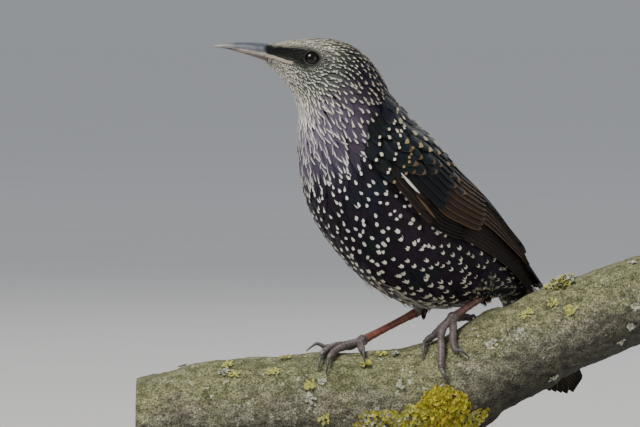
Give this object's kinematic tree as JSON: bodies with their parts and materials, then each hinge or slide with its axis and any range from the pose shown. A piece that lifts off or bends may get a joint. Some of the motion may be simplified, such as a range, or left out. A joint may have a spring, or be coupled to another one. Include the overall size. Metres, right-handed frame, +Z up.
{
  "type": "perched starling model",
  "caption": "Life-size still model of a common starling in winter plumage, perched upright on a cut length of branch held over a flat base by short rods.",
  "frame": {"origin": "centre of the underside of the stand's flat base, on the floor", "axes": "+Z up; the branch lies along X; the bird's bill points towards -X and its left side faces -Y"},
  "size_m": [0.2214, 0.105, 0.1989],
  "materials": {
    "plumage_head": "dark green-black, close cream streaks, satin",
    "plumage_neck": "narrow pointed feathers with a purple and green gloss",
    "plumage_body": "glossy black with cream spots",
    "plumage_wing": "dark brown and blue-green with buff edges",
    "plumage_tail": "dark brown with paler edges",
    "bill": "slate-grey horn, paler at the cutting edge",
    "eye": "polished dark brown, solid",
    "leg": "reddish-brown scales",
    "foot": "grey-mauve scales",
    "claw": "dark grey horn",
    "perch": "rough bark with algae and lichen, sawn ends",
    "stand_base": "dark stained and waxed",
    "stand_rod": "satin black"
  },
  "bodies": {
    "root": {"bill_lower": "bill", "bill_upper": "bill", "claw_hind_left": "claw", "claw_hind_right": "claw", "claw_inner_left": "claw", "claw_inner_right": "claw", "claw_middle_left": "claw", "claw_middle_right": "claw", "claw_outer_left": "claw", "claw_outer_right": "claw", "eye_left": "eye", "eye_right": "eye", "foot_left": "foot", "foot_right": "foot", "head": "plumage_head", "neck": "plumage_neck", "perch": "perch", "stand_base": "stand_base", "stand_rod_left": "stand_rod", "stand_rod_right": "stand_rod", "tail": "plumage_tail", "tarsus_left": "leg", "tarsus_right": "leg", "thigh_left": "plumage_body", "thigh_right": "plumage_body", "torso": "plumage_body", "wing_left": "plumage_wing", "wing_right": "plumage_wing"}
  },
  "joints": []
}
